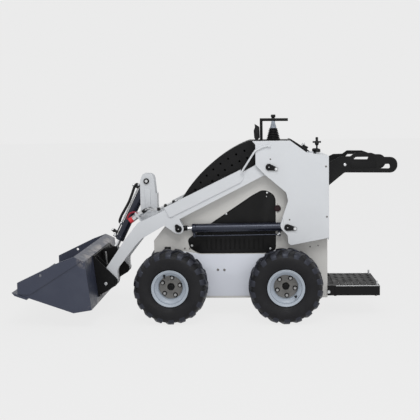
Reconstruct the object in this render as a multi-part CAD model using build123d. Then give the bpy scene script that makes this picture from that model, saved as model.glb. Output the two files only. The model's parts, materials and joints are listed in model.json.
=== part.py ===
from build123d import *
import os
from math import atan2, cos, degrees, hypot, pi, radians, sin, sqrt

# Stand-on compact skid steer loader. Millimetres: +X forward, +Y to the machine's left, +Z up.
# Points are (x, z) from the middle of the wheelbase on the ground; the whole machine is moved at
# the end by frame_shift, so that its origin lies on the ground under the middle of its length.

# ---------------------------------------------------------------- driving dimensions
wheelbase = 709.0
wheel_track = 750.0             # between the middles of the left and right tyres
tyre_radius = 228.6             # 18 x 8.50-8 tyre, out to the lugs' tips
tyre_width = 216.0
lug_height = 17.0
lug_count = 18                  # lugs on each side of one tyre
lug_width = 27.0
lug_slant = 24.0                # degrees from the axle's direction
wheel_sides = 24                # flat facets round a tyre and its rim, which meet face to face
bead_radius = 101.6             # 8 inch rim
flange_radius = 114.5
rim_width = 178.0
rim_wall = 4.0
well_radius = 77.0              # outside of the rim's drop centre
disc_offset = 12.0              # wheel disc outboard of the tyre's middle
disc_thickness = 8.0
stud_circle = 114.3             # five studs with their nuts
nut_radius = 10.5
stud_count = 5
hub_radius = 33.0
hub_length = 40.0
shaft_radius = 15.0             # wheel motor's shaft in the hub
shaft_length = 24.0
bead_gap = 0.15                 # tyre on rim
fit_gap = 0.3                   # pins and rods in moving bores
seat_gap = 0.05                 # fixed pins in fixed plates

plate = 10.0                    # structural plate
sheet = 4.0                     # folded sheet
body_half = 215.0               # outer face of the side plates
body_low = 121.0
body_front = 475.0
body_rear = -627.0
arm_gap = 8.0                   # side plate to arm
arm_width = 54.0
cover_step = 7.0                # raised cover on the arm's outer face
tower_gap = 5.0                 # arm cover to tower plate
arm_inner = body_half + arm_gap
arm_outer = arm_inner + arm_width
arm_mid = (arm_inner + arm_outer) / 2
cover_outer = arm_outer + cover_step
tower_inner = cover_outer + tower_gap
tower_outer = tower_inner + plate

console_top = 1118.0            # top of the tower plates
shelf_drop = 96.0               # console's top down to the rear shelf with the filler caps
shelf_top = console_top - shelf_drop
console_front = -156.0
console_rear = -390.0
shelf_front = -493.0

# pivots, (x, z)
tower_pin = (-259.0, 956.0)
lift_base_pin = (-371.0, 580.0)
lift_rod_pin = (311.0, 574.0)
attach_pin = (737.0, 245.0)
tilt_base_pin = (538.0, 863.0)
tilt_rod_pin = (766.0, 405.0)
pin_radius = 16.0

# lift and tilt cylinders; the rod shows by rod_out between the gland and its pin at rest
lift_barrel_radius = 27.5
lift_rod_radius = 14.0
lift_rod_out = 83.0
tilt_barrel_radius = 27.5
tilt_rod_radius = 14.0
tilt_rod_out = 75.6
cylinder_wall = 5.0
gland_length = 24.0
port_radius = 9.0               # oil ports on the barrels
pipe_radius = 4.5
hose_radius = 7.0
eye_radius = 26.0
eye_width = 34.0

# operator's end
guard_half = 245.0              # outer face of the two operator guard plates
guard_thickness = 8.0
guard_rear = -1052.0
step_half = 227.5
step_top = 197.0
step_depth = 62.0
step_rear = -951.0
step_front = body_rear - 40.0
tread_hole = 13.0               # six-sided holes in the tread, across their corners from the middle

# bucket
bucket_half = 540.0
bucket_wall = 6.0
side_wall = 8.0
strip_step = 6.0
lip = (1313.0, 227.0)
heel = (936.0, 97.0)
bucket_heel_rear = (824.0, 115.0)
bucket_back_low = (829.0, 158.0)
bucket_back_top = (859.0, 414.0)
bucket_rim = (925.0, 443.0)     # front of the rim folded over at the top of the back
edge_thickness = 14.0
edge_depth = 104.0
attach_plate_thickness = 12.0
ear_thickness = 12.0
ear_gap = 6.0                   # arm end to ear plate
ear_radius = 34.0

axle_x = {"front": wheelbase / 2, "rear": -wheelbase / 2}
wheel_y = wheel_track / 2
parts = {}


# ---------------------------------------------------------------- helpers
def outline(points):
    """Closed (x, z) face; each point is (x, z) or (x, z, corner radius)."""
    corners = [point[:2] for point in points]
    radii = [point[2] if len(point) > 2 else 0 for point in points]
    return make_face(FilletPolyline(*corners, radius=radii, close=True).edges())


def slab(face, y_low, y_high):
    """Solid of an (x, z) face between two lateral planes."""
    return extrude(Plane.XZ.offset(-y_low) * face, amount=-(y_high - y_low))


def round_at(point, radius):
    return Pos(point[0], point[1]) * Circle(radius)


def pin_across(point, radius, y_low, y_high):
    """Round bar along Y at an (x, z) point."""
    return slab(round_at(point, radius), y_low, y_high)


def bar_between(start, end, radius):
    """Round bar between two (x, y, z) points."""
    start, end = Vector(*start), Vector(*end)
    plane = Plane(origin=start, z_dir=end - start)
    return extrude(plane * Circle(radius), amount=(end - start).length)


def box_between(low, high):
    size = [b - a for a, b in zip(low, high)]
    middle = [(a + b) / 2 for a, b in zip(low, high)]
    return Pos(*middle) * Box(*size)


def mirrored(piece):
    return mirror(piece, about=Plane.XZ)


def both_sides(name, piece):
    """The same piece on the left (+Y) and, mirrored, on the right."""
    parts[name + "_left"] = piece
    parts[name + "_right"] = mirrored(piece)


def along(start, end, distance, side=0.0):
    """Point at a distance from start towards end, and to the left of that line by side."""
    length = hypot(end[0] - start[0], end[1] - start[1])
    ux, uz = (end[0] - start[0]) / length, (end[1] - start[1]) / length
    return (start[0] + ux * distance - uz * side, start[1] + uz * distance + ux * side)


def tube_along(points, radius):
    """Eight-sided tube along straight runs with mitred corners."""
    path = Polyline(*points)
    section = Plane(origin=path @ 0, z_dir=path % 0) * RegularPolygon(radius, 8)
    return sweep(section, path=path, transition=Transition.RIGHT)


def faceted(profile, sides, hollow=False):
    """(radius, lateral) profile turned about the Y axis in flat facets: closed by two end faces,
    or, if hollow, by itself."""
    rails = []
    for i in range(sides):
        angle = 2 * pi * i / sides
        rails.append([(r * cos(angle), y, r * sin(angle)) for r, y in profile])
    faces = []
    for rail, following in zip(rails, rails[1:] + rails[:1]):
        for k in range(0 if hollow else 1, len(profile)):
            corners = (rail[k - 1], rail[k], following[k], following[k - 1])
            faces.append(Face(Wire.make_polygon(corners)))
    if not hollow:
        faces += [Face(Wire.make_polygon([rail[end] for rail in rails])) for end in (0, -1)]
    return Part() + Solid(Shell(faces))


def upright(x, y, z, profile, sides):
    """Faceted solid of a (radius, height) profile that stands at a point."""
    return Pos(x, y, z) * Rot(90, 0, 0) * faceted(profile, sides)


def both_ways(profile):
    """The profile and, after it, its mirror image in the lateral direction."""
    return profile + [(r, -y) for r, y in reversed(profile)]


# ---------------------------------------------------------------- wheels

def make_tyre():
    """Carcass with a hollow for the rim and two staggered rows of slanted lugs."""
    half = tyre_width / 2
    root = tyre_radius - lug_height
    shoulder = 38.0
    bead = rim_width / 2 - rim_wall - bead_gap
    carcass = faceted(both_ways([
        (bead_radius + bead_gap, -bead), (flange_radius + 2, -bead), (root - 28, -half),
        (root, -half + shoulder),
    ]), wheel_sides, hollow=True)
    inner_end, outer_end = 5.0, half - 1.5
    middle, reach = (inner_end + outer_end) / 2, (outer_end - inner_end) / 2
    slant = radians(lug_slant)
    corner = reach * sin(slant) + lug_width / 2 * cos(slant)
    tip = sqrt(tyre_radius ** 2 - corner ** 2)
    side_view = make_face(Polyline(
        (-reach, root - 8), (-reach, tip), (reach - shoulder, tip), (reach, tip - shoulder),
        (reach - 8, root - 30), close=True).edges())
    lug = extrude(Plane.YZ.offset(-lug_width / 2) * side_view, amount=lug_width)
    lug = Pos(0, middle, 0) * Rot(0, 0, lug_slant) * lug
    pitch = 360 / lug_count
    first = -degrees(atan2(corner, tip))     # the tyre stands on a lug's corner
    lugs = []
    for i in range(lug_count):
        lugs.append(Rot(0, first + i * pitch, 0) * lug)
        lugs.append(Rot(0, first + (i + 0.5) * pitch, 0) * mirrored(lug))
    return carcass + lugs


def make_rim():
    """Rim barrel with flanges and a drop centre, the wheel disc, its nuts and the hub."""
    edge = rim_width / 2
    outside = both_ways([
        (flange_radius, edge), (flange_radius, edge - rim_wall), (bead_radius, edge - rim_wall),
        (bead_radius, edge - 28), (well_radius, edge - 44),
    ])
    inside_face = both_ways([
        (bead_radius - rim_wall, -edge), (bead_radius - rim_wall, -edge + 26),
        (well_radius - rim_wall, -edge + 42),
    ])
    rim = faceted(outside + inside_face, wheel_sides, hollow=True)
    rim += slab(RegularPolygon(well_radius - rim_wall / 2, wheel_sides),
                disc_offset - disc_thickness, disc_offset)
    back = disc_offset - hub_length
    rim += slab(RegularPolygon(hub_radius, 12), back, disc_offset + 5)
    rim += slab(RegularPolygon(19.0, 12), disc_offset + 5, disc_offset + 24)
    rim -= pin_across((0, 0), shaft_radius + fit_gap, back - 1, back + shaft_length + 2)
    for i in range(stud_count):
        angle = radians(90 + i * 360 / stud_count)
        spot = (stud_circle / 2 * cos(angle), stud_circle / 2 * sin(angle))
        rim += slab(Pos(*spot) * RegularPolygon(nut_radius, 6), disc_offset, disc_offset + 15)
    return rim


tyre = make_tyre()
rim = make_rim()
for end, x in axle_x.items():
    for side, y, turn in (("left", wheel_y, 0), ("right", -wheel_y, 180)):
        place = Pos(x, y, tyre_radius) * Rot(0, 0, turn)
        parts[f"tyre_{end}_{side}"] = place * tyre
        parts[f"rim_{end}_{side}"] = place * rim


# hydraulic wheel motors on the side plates; their shafts turn the hubs
motor_radius = 52.0
motor_gap = 5.0
hub_inner_face = wheel_y + disc_offset - hub_length
motors = Part()
for x in axle_x.values():
    nose = hub_inner_face - motor_gap
    motor = Pos(x, 0, tyre_radius) * faceted([
        (motor_radius + 12, body_half), (motor_radius + 12, body_half + 14),
        (motor_radius, body_half + 15), (motor_radius, body_half + 70),
        (motor_radius - 12, body_half + 82), (motor_radius - 12, nose),
    ], 16)
    motor += pin_across((x, tyre_radius), shaft_radius, nose, hub_inner_face + shaft_length)
    motors += motor + mirrored(motor)
parts["wheel_motors"] = motors


# ---------------------------------------------------------------- main frame
chamfer_low = (body_front, 494.0)
chamfer_top = (411.0, 575.0)
hood_foot = (330.0, 690.0)
hood_rear = -190.0
side_top_rear = (hood_rear, 925.0)
deck_drop = 10.0                # side plates end this far below the console's top
window = [
    (190, 407, 60), (-300, 407, 45), (-300, 775, 60), (-225, 815, 60), (-150, 775, 30),
    (205, 538, 20), (262, 500, 30), (246, 440, 30),
]
body_side = outline([
    (body_front, body_low), chamfer_low, chamfer_top, hood_foot, side_top_rear,
    (hood_rear, console_top - deck_drop), (console_rear, console_top - deck_drop),
    (shelf_front, shelf_top + 8), (shelf_front, shelf_top - sheet),
    (body_rear + sheet, shelf_top - sheet), (body_rear + sheet, body_low),
])
vent_hole = outline(window)
side_plate = slab(body_side - vent_hole, body_half - plate, body_half)
side_plate -= pin_across(tower_pin, pin_radius + seat_gap, body_half - plate, body_half)
side_plate -= pin_across(lift_base_pin, pin_radius + seat_gap, body_half - plate, body_half)
inside = body_half - plate
frame = side_plate + mirrored(side_plate)
frame += box_between((body_rear + sheet, -inside, body_low), (body_front, inside, body_low + 8))
frame += box_between((body_front - 8, -inside, body_low), (body_front, inside, chamfer_low[1]))
frame += slab(outline([
    chamfer_low, chamfer_top, hood_foot, (hood_foot[0] - 9, hood_foot[1] - 4),
    (chamfer_top[0] - 9, chamfer_top[1] - 4), (chamfer_low[0] - 8, chamfer_low[1] - 4),
]), -inside, inside)
frame += box_between((body_rear + sheet, -inside, body_low), (body_rear + sheet + 8, inside, 520))
parts["main_frame"] = frame

# vent panels in the side windows, held by their rims inside the side plates
vent_rim = 14.0
vent_face = offset(vent_hole, amount=vent_rim, kind=Kind.ARC)
vent_panel = slab(vent_face, inside - 3, inside)
vent_panel += slab(offset(vent_hole, amount=-1.5, kind=Kind.ARC), inside, inside + 5)
slot_pitch, slot_width, slot_low, slot_high = 30.0, 9.0, 432.0, 500.0
for i in range(13):
    x = -225 + i * slot_pitch
    vent_panel -= box_between((x, inside - 4, slot_low), (x + slot_width, inside + 6, slot_high))
both_sides("vent_panel", vent_panel)

# rubber-faced stops under the arms, in front of the vents
stop = box_between((368, body_half, 424), (407, arm_mid - 8, 454))
parts["bump_stops"] = stop + mirrored(stop)

# engine and pump, one plain block on the belly plate
belly = 8.0
engine_low = body_low + belly
engine_half = 160.0
engine_height = 420.0
parts["engine_block"] = box_between((-180, -engine_half, engine_low),
                                    (250, engine_half, engine_low + engine_height))


# ---------------------------------------------------------------- tower
tower_outline = outline([
    (console_front, console_top), (console_front - 20, console_top - 22, 12),
    (console_front - 20, 969), (-234, 908, 4), (-363, 798, 30), (-375, 745, 20),
    (-338, 640, 12), (lift_base_pin[0] + 48, lift_base_pin[1], 40),
    (lift_base_pin[0], lift_base_pin[1] - 50, 30), (lift_base_pin[0] - 3, 482),
    (-390, 467, 14), (body_rear, 513, 8), (body_rear, shelf_top),
    (shelf_front, shelf_top + 20), (console_rear, console_top),
])
tower_plate = slab(tower_outline, tower_inner, tower_outer)
tower_plate -= pin_across(tower_pin, pin_radius + seat_gap, tower_inner, tower_outer)
tower_plate -= pin_across(lift_base_pin, pin_radius + seat_gap, tower_inner, tower_outer)
# web between tower plate and side plate behind the lift cylinder
web_x, web_low, web_high = body_rear + 67, 540.0, console_top - 118
web = box_between((web_x, body_half, web_low), (web_x + 10, tower_inner, web_high))
both_sides("tower_plate", tower_plate + web)

parts["rear_panel"] = box_between((body_rear, -tower_inner, 500),
                                  (body_rear + sheet, tower_inner, shelf_top - sheet))
shelf = slab(outline([
    (shelf_front, shelf_top - sheet), (shelf_front, shelf_top), (body_rear, shelf_top),
    (body_rear, shelf_top - sheet),
]), -tower_inner, tower_inner)
cap_x = -570.0
cap_y = {"hydraulic_cap": 60.0, "fuel_cap": -60.0}
neck_radius = 14.0
for y in cap_y.values():
    shelf -= Pos(cap_x, y, shelf_top) * Cylinder(neck_radius + seat_gap, 60)
parts["tank_shelf"] = shelf
panel_edge = console_top - 10
parts["console_panel"] = slab(outline([
    (hood_rear, panel_edge), (hood_rear, console_top + 2),
    (console_rear - 10, console_top + 1), (shelf_front - 6, shelf_top + 30),
    (shelf_front, shelf_top + 8), (console_rear, panel_edge),
]), -body_half, body_half)
# switch box on the console's slope
slope_line = ((console_rear, console_top + 2), (shelf_front, shelf_top + 22))
parts["console_panel"] += slab(outline([
    along(*slope_line, 92, 4), along(*slope_line, 92, -28), along(*slope_line, 126, -34),
    along(*slope_line, 128, -4),
]), 60.0, 140.0)

# pins fixed in tower and side plates, with flag retainers outside
flag_thickness = 8.0


def flagged_pin(point, reach, direction, y_low, y_high):
    """Pin with a flag plate on its outer end; the flag points at direction degrees, and is bolted."""
    pin = pin_across(point, pin_radius, y_low, y_high)
    flag_end = (point[0] + reach * cos(radians(direction)), point[1] + reach * sin(radians(direction)))
    left = direction + 90
    wide, narrow = 21.0, 11.0
    corners = []
    for centre, width, sign in ((point, wide, 1), (flag_end, narrow, 1), (flag_end, narrow, -1),
                                (point, wide, -1)):
        corners.append((centre[0] + sign * width * cos(radians(left)),
                        centre[1] + sign * width * sin(radians(left))))
    flag = outline(corners) + round_at(point, wide) + round_at(flag_end, narrow)
    return pin + slab(flag, y_high, y_high + flag_thickness)


both_sides("tower_pin", flagged_pin(tower_pin, 46, 195, inside, tower_outer))
both_sides("lift_base_pin", flagged_pin(lift_base_pin, 46, 189, inside, tower_outer))


# bent bar that locks the raised arm; it hangs on the left tower plate
bar_radius = 6.0
bar_y = tower_outer + bar_radius
bar_top = (-262.0, console_top - 28)
bar = tube_along([
    (bar_top[0], bar_y, bar_top[1]), (-218, bar_y, bar_top[1] - 10),
    (-174, bar_y, bar_top[1] - 32), (-88, bar_y, 926),
], bar_radius)
parts["lock_bar"] = bar + pin_across(bar_top, bar_radius + 4, tower_outer, bar_y + bar_radius)


# ---------------------------------------------------------------- hood guard
hood_half = inside - fit_gap
hood_centre = (-334.0, console_top - 682.0)
hood_radius = 712.0


def hood_face(inset):
    """Side view of the domed guard, drawn in by inset at its top and front."""
    limits = outline([
        (hood_rear, side_top_rear[1] - 30), (270, 672), (318, 696), (400, 700),
        (400, console_top + 2 - inset), (hood_rear, console_top + 2 - inset),
    ])
    return round_at(hood_centre, hood_radius - inset) & limits


hood = slab(hood_face(0), -hood_half, hood_half)
hood -= slab(hood_face(sheet), -hood_half + sheet, hood_half - sheet)
# rows of six-sided vent holes that follow the dome: depth below its edge, first and last degrees
for depth, first, last, step in ((52.0, 30, 70, 5), (100.0, 40, 70, 5)):
    for turn in range(first, last + 1, step):
        away = hood_radius - depth
        spot = (hood_centre[0] + away * cos(radians(turn)), hood_centre[1] + away * sin(radians(turn)))
        hood -= slab(Pos(*spot) * RegularPolygon(7.0, 6), -hood_half - 1, hood_half + 1)
parts["hood_guard"] = hood


# ---------------------------------------------------------------- controls and caps
deck = console_top + 2
lever_x = -293.0
ribs = []                       # bellows of the lever
rib_count = 6
for i in range(rib_count):
    wide = 42.0 - 3.2 * i
    ribs += [(wide, 11.0 * i), (wide, 11.0 * i + 6), (wide - 6, 11.0 * i + 8)]
lever = upright(lever_x, 0, deck, ribs + [(19.0, 88.0), (9.0, 112.0), (9.0, 143.0)], 12)
parts["joystick"] = lever + upright(lever_x, 0, deck + 143, [
    (9.0, 0), (15.0, 5), (15.0, 16), (8.0, 20)], 12)
bar_z = deck + 130
bar_front, bar_rear = -207.0, -386.0
grip_half = 60.0
grip_radius = 9.0
grab = bar_between((bar_front, grip_half, bar_z), (bar_rear, grip_half, bar_z - 2), grip_radius)
post_x = bar_front - 8
grab += bar_between((post_x, grip_half, deck), (post_x, grip_half, bar_z + 6), grip_radius)
grab += mirrored(grab)
cross_x = bar_rear + 18
grab += bar_between((cross_x, -grip_half, bar_z - 2), (cross_x, grip_half, bar_z - 2), grip_radius)
parts["grab_bar"] = grab
bracket_half_width = 35.0
parts["control_bracket"] = slab(outline([
    (-177, deck), (-189, deck), (-205, deck + 14), (-203, deck + 84), (-172, deck + 104),
    (-174, deck + 82), (-166, deck + 60), (-169, deck + 14),
]), -bracket_half_width, bracket_half_width)
# filler caps: a T-handle over the hydraulic tank's neck, a plain cap on the fuel neck
neck = [(neck_radius, -24.0), (neck_radius, 14.0), (23.0, 15.0), (23.0, 34.0), (19.0, 37.0)]
stem = [(5.0, 38.0), (5.0, 56.0), (13.0, 66.0), (13.0, 74.0), (8.0, 84.0), (9.0, 104.0), (7.0, 112.0)]
handle = box_between((cap_x - 27, cap_y["hydraulic_cap"] - 6, shelf_top + 74),
                     (cap_x + 27, cap_y["hydraulic_cap"] + 6, shelf_top + 86))
parts["hydraulic_cap"] = upright(cap_x, cap_y["hydraulic_cap"], shelf_top, neck + stem, 12) + handle
parts["fuel_cap"] = upright(cap_x, cap_y["fuel_cap"], shelf_top, neck, 12)


# ---------------------------------------------------------------- operator guard and step
guard_level = console_top - 144 # where the guard's top edge leaves the rear panel
guard_outline = outline([
    (body_rear, guard_level), (-668, guard_level + 23, 20), (-700, guard_level + 39, 20),
    (-762, guard_level + 40, 15), (-792, guard_level + 62, 15), (-893, guard_level + 60, 20),
    (-960, guard_level + 34, 20), (guard_rear, guard_level + 32, 46),
    (guard_rear, guard_level - 65, 46), (-728, guard_level - 60, 20), (body_rear, guard_level - 142),
])
grip_slot = outline([
    (-783, guard_level + 22), (-797, guard_level + 36), (-873, guard_level + 35),
    (-868, guard_level + 20),
])
rear_hole = outline([
    (-925, guard_level - 36, 6), (-958, guard_level - 14, 6), (-1004, guard_level - 8, 12),
    (-1008, guard_level - 38, 10),
])
both_sides("guard_plate", slab(guard_outline - grip_slot - rear_hole,
                               guard_half - guard_thickness, guard_half))
guard_tube = (-730.0, guard_level - 11)
tube_half = guard_half - guard_thickness
parts["guard_tube"] = pin_across(guard_tube, 17.0, -tube_half, tube_half)

# tread plate with rows of holes, its folded edges, and two pins at its rear corners
columns, rows = 6, 7
hole_step_x = (step_front - step_rear) / (columns + 0.6)
hole_step_y = 2 * step_half / (rows + 0.6)
tray = box_between((step_rear, -step_half, step_top - sheet), (step_front, step_half, step_top))
tread_hole_shape = Rot(0, 0, 30) * RegularPolygon(tread_hole, 6)
hole_low, hole_high = step_top - 2 * sheet, step_top + sheet
for i in range(columns):
    for j in range(rows):
        x = step_rear + (i + 0.8) * hole_step_x
        y = -step_half + (j + 0.8) * hole_step_y
        tray -= extrude(Pos(x, y, hole_low) * tread_hole_shape, amount=hole_high - hole_low)
low_edge = step_top - step_depth
tray += box_between((step_rear, -step_half, low_edge), (step_rear + sheet, step_half, step_top))
for y in (-step_half, step_half - sheet):
    tray += box_between((step_rear, y, low_edge), (step_front, y + sheet, step_top))
pin_height = 27.0
for y in (-200.0, 200.0):
    tray += upright(step_rear + 16, y, step_top - sheet, [(6.0, 0), (6.0, pin_height), (4.0, pin_height + 3)], 8)
parts["step"] = tray
cheek = 60.0
bracket = box_between((step_front, step_half - cheek, low_edge), (body_rear + sheet, step_half, step_top + 100))
parts["step_bracket"] = bracket + mirrored(bracket) + box_between(
    (body_rear - 13, -step_half + cheek, low_edge + 2), (body_rear + sheet, step_half - cheek, step_top + 30))


# ---------------------------------------------------------------- arms
root_radius = 60.0
arm_beam = outline([
    (tower_pin[0] + 20, tower_pin[1] + 56), (-175, 968), (-92, 924), (399, 693), (468, 659),
    (572, 611, 30), (653, 509), (786, 316, 10), (attach_pin[0] + 24, attach_pin[1] + 24),
    (703, 247), (706, 321, 60), (588, 470), (543, 516, 50), (402, 596),
    (lift_rod_pin[0] + 18, lift_rod_pin[1] - 28), (lift_rod_pin[0] - 27, lift_rod_pin[1] + 18),
    (305, 636), (tower_pin[0] + 25, 907), (tower_pin[0] - 25, tower_pin[1] - 52),
])
arm_shape = arm_beam + round_at(tower_pin, root_radius) + round_at(attach_pin, 31.0)
arm_shape += round_at(lift_rod_pin, 32.0)
arm = slab(arm_shape, arm_inner, arm_outer)
cover_face = outline([
    (-83, 941), (399, 710), (366, 645, 14), (323, 665), (-82, 862), (-101, 886, 10),
])
arm += slab(cover_face, arm_inner, cover_outer)
slot_half = eye_width / 2 + 1.0
eye_room = outline([
    (250, 420), (455, 420), (400, 560), (lift_rod_pin[0] + 60, lift_rod_pin[1] + 40),
    (305, 633), (180, 695), (100, 640),
])
arm -= slab(eye_room, arm_mid - slot_half, arm_mid + slot_half)
for spot, room in ((tower_pin, fit_gap), (attach_pin, fit_gap), (lift_rod_pin, seat_gap)):
    arm -= pin_across(spot, pin_radius + room, arm_inner, cover_outer)
both_sides("arm", arm)


# the rod's eye swings between two stub pins, one in each wall of the arm's fork
lug_wall = arm_width / 2 - slot_half
rod_pin = flagged_pin(lift_rod_pin, 22, 58, arm_outer - lug_wall, arm_outer)
rod_pin += pin_across(lift_rod_pin, pin_radius, arm_inner - 4, arm_inner + lug_wall)
both_sides("lift_rod_pin", rod_pin)
arm_cross = slab(outline([
    (470, 560, 12), (548, 521, 12), (590, 590, 12), (505, 632, 12),
]), -arm_inner, arm_inner)
bracket_half = 48.0
bracket_wall = 14.0
bracket_outline = outline([
    (580, 600), (580, 866, 44), (560, 914, 20), (492, 910, 34), (470, 698), (462, 625),
])
bracket_plate = slab(bracket_outline - round_at(tilt_base_pin, pin_radius + seat_gap),
                     bracket_half - bracket_wall, bracket_half)
arm_cross += bracket_plate + mirrored(bracket_plate)
arm_cross += box_between((470, -bracket_half, 620), (480, bracket_half, 780))
# plate for the attachment's oil couplers, square to their slope
coupler_slope = -34.0
coupler_middle = (585.0, 648.0)
coupler_sides = (150.0, 105.0)
coupler_radius = 14.0
slope_x, slope_z = cos(radians(coupler_slope)), sin(radians(coupler_slope))


def down_slope(distance, height=0.0):
    """(x, z) at a distance along the couplers' slope from their plate, and a height square to it."""
    return (coupler_middle[0] + distance * slope_x - height * slope_z,
            coupler_middle[1] + distance * slope_z + height * slope_x)


coupler_plate = slab(outline([
    down_slope(-4, 26), down_slope(4, 26), down_slope(4, -62), down_slope(-4, -58),
]), coupler_sides[1] - 24, coupler_sides[0] + 24)
couplers = Part()
caps = Part()
for y in coupler_sides:
    ends = [down_slope(distance) for distance in (-38, 38, 64)]
    tail, face, tip = [(x, y, z) for x, z in ends]
    coupler_plate -= bar_between(tail, face, coupler_radius + seat_gap)
    couplers += bar_between(tail, face, coupler_radius)
    nut_face = Plane(origin=face, z_dir=Vector(*face) - Vector(*tip))
    couplers += extrude(nut_face * RegularPolygon(coupler_radius + 4, 6), amount=24)
    caps += bar_between(face, tip, coupler_radius + 5)
arm_cross += coupler_plate
parts["aux_couplers"] = couplers
parts["coupler_caps"] = caps
parts["arm_cross"] = arm_cross

# steel pipes from the arm's box section to the couplers
pipes = Part()
for arm_y, coupler_y in ((arm_inner + 14, coupler_sides[1]), (arm_inner + 38, coupler_sides[0])):
    (x_near, z_near), (x_tail, z_tail) = down_slope(-70), down_slope(-38)
    pipes += tube_along([
        (405, arm_y, 686), (411, arm_y, 708), (474, arm_y, 678),
        (x_near, coupler_y, z_near), (x_tail, coupler_y, z_tail),
    ], pipe_radius + 1.5)
parts["arm_pipes"] = pipes - parts["arm_left"]
parts["tilt_base_pin"] = pin_across(tilt_base_pin, pin_radius, -bracket_half - 6, bracket_half + 6)


# ---------------------------------------------------------------- cylinders
barrel_bottom = eye_radius + 6.0        # closed end of a barrel, from its pin
base_port = barrel_bottom + 18.0
port_inset = 14.0                       # other port, back from the gland's end
port_cover = 8.0                        # a port's boss stands this far over its pipe's middle


def make_cylinder(base, rod_end, y, rod_out, barrel_radius, rod_radius, pipe_side, pipe_away,
                  pipe_start):
    """Barrel and rod of a cylinder from its base pin to its rod pin, at lateral y. A steel pipe
    runs beside the barrel, pipe_away from its middle, on the side that pipe_side (1 or -1) gives,
    from pipe_start to the port at the gland."""
    length = hypot(rod_end[0] - base[0], rod_end[1] - base[1])
    barrel_length = length - rod_out
    angle = degrees(atan2(rod_end[1] - base[1], rod_end[0] - base[0]))
    barrel = slab(round_at((0, 0), eye_radius), -eye_width / 2, eye_width / 2)
    tube = Plane(origin=(barrel_bottom - 12, 0, 0), z_dir=(1, 0, 0))
    barrel += extrude(tube * Circle(barrel_radius), amount=barrel_length - barrel_bottom + 12)
    bore = Plane(origin=(barrel_bottom + 20, 0, 0), z_dir=(1, 0, 0))
    barrel -= extrude(bore * Circle(barrel_radius - cylinder_wall),
                      amount=barrel_length - barrel_bottom - 20 - gland_length)
    gland = Plane(origin=(barrel_length - gland_length - 1, 0, 0), z_dir=(1, 0, 0))
    barrel -= extrude(gland * Circle(rod_radius + fit_gap), amount=gland_length + 2)
    barrel -= pin_across((0, 0), pin_radius + fit_gap, -eye_width, eye_width)
    gland_port = barrel_length - port_inset
    for port in {base_port, pipe_start, gland_port}:
        middle = Plane(origin=(port, 0, 0), z_dir=(0, 0, pipe_side))
        boss = extrude(middle * Circle(port_radius), amount=pipe_away + port_cover)
        barrel += boss - extrude(middle * Circle(port_radius + 1), amount=barrel_radius - 1)
    line = Plane(origin=(pipe_start, 0, pipe_side * pipe_away), z_dir=(1, 0, 0))
    barrel += extrude(line * Circle(pipe_radius), amount=gland_port - pipe_start)
    piston_at = barrel_bottom + 30
    shaft = Plane(origin=(piston_at, 0, 0), z_dir=(1, 0, 0))
    rod = extrude(shaft * Circle(rod_radius), amount=length - piston_at - eye_radius + 6)
    rod += extrude(shaft * Circle(barrel_radius - cylinder_wall - fit_gap), amount=26)
    rod += pin_across((length, 0), eye_radius, -eye_width / 2, eye_width / 2)
    rod -= pin_across((length, 0), pin_radius + fit_gap, -eye_width, eye_width)
    place = Pos(base[0], y, base[1]) * Rot(0, -angle, 0)
    return place * barrel, place * rod


barrel, rod = make_cylinder(lift_base_pin, lift_rod_pin, arm_mid, lift_rod_out,
                            lift_barrel_radius, lift_rod_radius, -1, 49.0, base_port)
both_sides("lift_barrel", barrel)
both_sides("lift_rod", rod)
tilt_pipe_away, tilt_pipe_start = 36.0, 330.0
barrel, rod = make_cylinder(tilt_base_pin, tilt_rod_pin, 0, tilt_rod_out, tilt_barrel_radius,
                            tilt_rod_radius, 1, tilt_pipe_away, tilt_pipe_start)
parts["tilt_barrel"] = barrel
parts["tilt_rod"] = rod

# hose from the base port to the pipe's start; its points are (distance from the base pin, offset)
port_top = tilt_pipe_away + port_cover
hose_away = port_top + 18
hose_points = []
for distance, away in ((base_port, port_top), (base_port, hose_away), (base_port + 26, hose_away + 5),
                       (tilt_pipe_start - 60, hose_away + 2), (tilt_pipe_start, hose_away - 3),
                       (tilt_pipe_start, port_top)):
    x, z = along(tilt_base_pin, tilt_rod_pin, distance, away)
    hose_points.append((x, 0, z))
parts["tilt_hose"] = tube_along(hose_points, hose_radius)


# ---------------------------------------------------------------- bucket and its attachment plate
back = (bucket_back_low, bucket_back_top)
back_length = hypot(back[1][0] - back[0][0], back[1][1] - back[0][1])
ear_outer = arm_outer + ear_gap + ear_thickness
plate_low = along(*back, -10, 0)
plate_high = along(*back, back_length - 4, 0)
attach = slab(outline([
    plate_low, plate_high, along(*back, back_length - 4, attach_plate_thickness),
    along(*back, -10, attach_plate_thickness),
]), -ear_outer, ear_outer)
ear_face = outline([
    along(*back, 0, 6), along(*back, back_length - 4, 6),
    (attach_pin[0] - 22, attach_pin[1] + 26), (attach_pin[0] - 10, attach_pin[1] - 33),
    (775, 182),
]) + round_at(attach_pin, ear_radius)
ear_face -= round_at(attach_pin, pin_radius + seat_gap)
for low in (arm_inner - ear_gap - ear_thickness, arm_outer + ear_gap):
    ear = slab(ear_face, low, low + ear_thickness)
    attach += ear + mirrored(ear)
lug_half = eye_width / 2 + 4
tilt_lug_face = outline([
    along(*back, 130, 6), along(*back, back_length - 4, 6), (tilt_rod_pin[0] + 20, tilt_rod_pin[1] + 24),
    (tilt_rod_pin[0] - 22, tilt_rod_pin[1] + 16), (tilt_rod_pin[0] - 12, tilt_rod_pin[1] - 24),
]) + round_at(tilt_rod_pin, 28.0)
tilt_lug_face -= round_at(tilt_rod_pin, pin_radius + seat_gap)
tilt_lug = slab(tilt_lug_face, lug_half, lug_half + ear_thickness)
attach += tilt_lug + mirrored(tilt_lug)
stub = pin_across(tilt_rod_pin, pin_radius, lug_half, lug_half + ear_thickness + 5)
parts["tilt_rod_pin"] = stub + mirrored(stub)
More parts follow.
